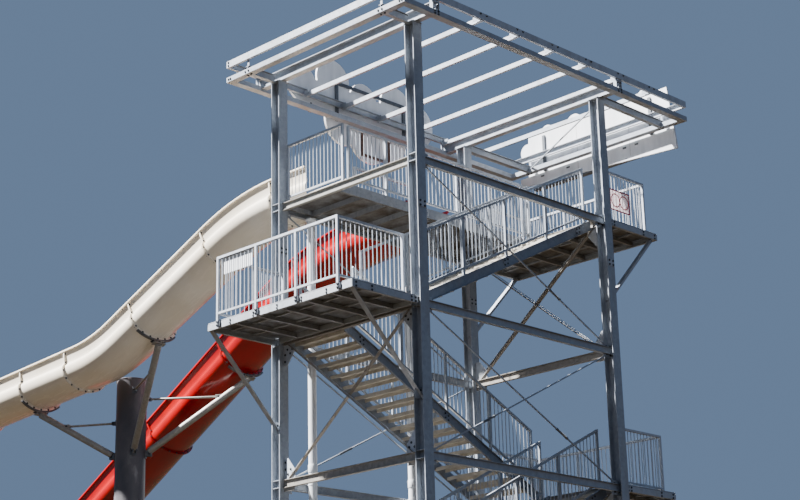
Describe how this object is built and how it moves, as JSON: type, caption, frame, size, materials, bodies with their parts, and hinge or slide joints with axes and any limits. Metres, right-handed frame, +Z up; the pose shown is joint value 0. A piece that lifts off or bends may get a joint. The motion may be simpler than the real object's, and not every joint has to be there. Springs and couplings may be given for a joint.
{
  "type": "water slide tower",
  "caption": "Galvanised steel stair tower with landings, guard rails, open roof frame and sign boards, carrying the upper runs of a white and a red open water slide on a braced support column.",
  "frame": {"origin": "middle of the front left column's base plate, on the ground", "axes": "+Z up; +X from the slide side to the stair side; +Y from the front columns to the rear columns"},
  "size_m": [17.5998, 10.3503, 18.5575],
  "materials": {
    "galvanised_steel": "hot-dip galvanised, matt with spangle",
    "stair_treads": "galvanised, dusty tread plate",
    "sign_white": "satin painted sheet",
    "white_flume": "gloss gelcoat on fibreglass",
    "red_flume": "gloss gelcoat on fibreglass",
    "support_grey": "weathered dark grey paint",
    "pipe_white": "matt plastic pipe"
  },
  "bodies": {
    "root": {"column_front_left_lower": "galvanised_steel", "column_front_left_upper": "galvanised_steel", "column_front_right_lower": "galvanised_steel", "column_front_right_upper": "galvanised_steel", "column_rear_right_lower": "galvanised_steel", "column_rear_right_upper": "galvanised_steel", "column_rear_left_lower": "galvanised_steel", "column_rear_left_upper": "galvanised_steel", "front_frame_lower": "galvanised_steel", "front_frame_upper": "galvanised_steel", "front_deck_beam": "galvanised_steel", "rear_frame_lower": "galvanised_steel", "rear_frame_middle": "galvanised_steel", "rear_frame_upper": "galvanised_steel", "right_frame_lower": "galvanised_steel", "right_frame_upper": "galvanised_steel", "left_frame_lower": "galvanised_steel", "left_frame_upper": "galvanised_steel", "landing_1": "galvanised_steel", "landing_2": "galvanised_steel", "landing_3": "galvanised_steel", "landing_4": "galvanised_steel", "landing_5": "galvanised_steel", "landing_rail_1": "galvanised_steel", "landing_rail_2": "galvanised_steel", "landing_rail_3": "galvanised_steel", "landing_rail_4": "galvanised_steel", "landing_rail_5": "galvanised_steel", "top_deck": "galvanised_steel", "deck_rail_front": "galvanised_steel", "deck_rail_inner": "galvanised_steel", "deck_rail_slides": "galvanised_steel", "stair_flight_1": "stair_treads", "stair_rail_1_inner": "galvanised_steel", "stair_rail_1_outer": "galvanised_steel", "stair_flight_2": "stair_treads", "stair_rail_2_inner": "galvanised_steel", "stair_rail_2_outer": "galvanised_steel", "stair_flight_3": "stair_treads", "stair_rail_3_inner": "galvanised_steel", "stair_rail_3_outer": "galvanised_steel", "stair_flight_4": "stair_treads", "stair_rail_4_inner": "galvanised_steel", "stair_rail_4_outer": "galvanised_steel", "stair_flight_5": "stair_treads", "stair_rail_5_inner": "galvanised_steel", "stair_rail_5_outer": "galvanised_steel", "roof_main_frame": "galvanised_steel", "roof_purlins": "galvanised_steel", "sign_board_left": "sign_white", "sign_board_rear": "sign_white", "white_slide_1": "white_flume", "white_slide_2": "white_flume", "white_slide_3": "white_flume", "red_slide_1": "red_flume", "red_slide_2": "red_flume", "red_slide_3": "red_flume", "slide_support": "support_grey", "water_pipe_front": "pipe_white", "water_pipe_rear": "pipe_white"}
  },
  "joints": []
}
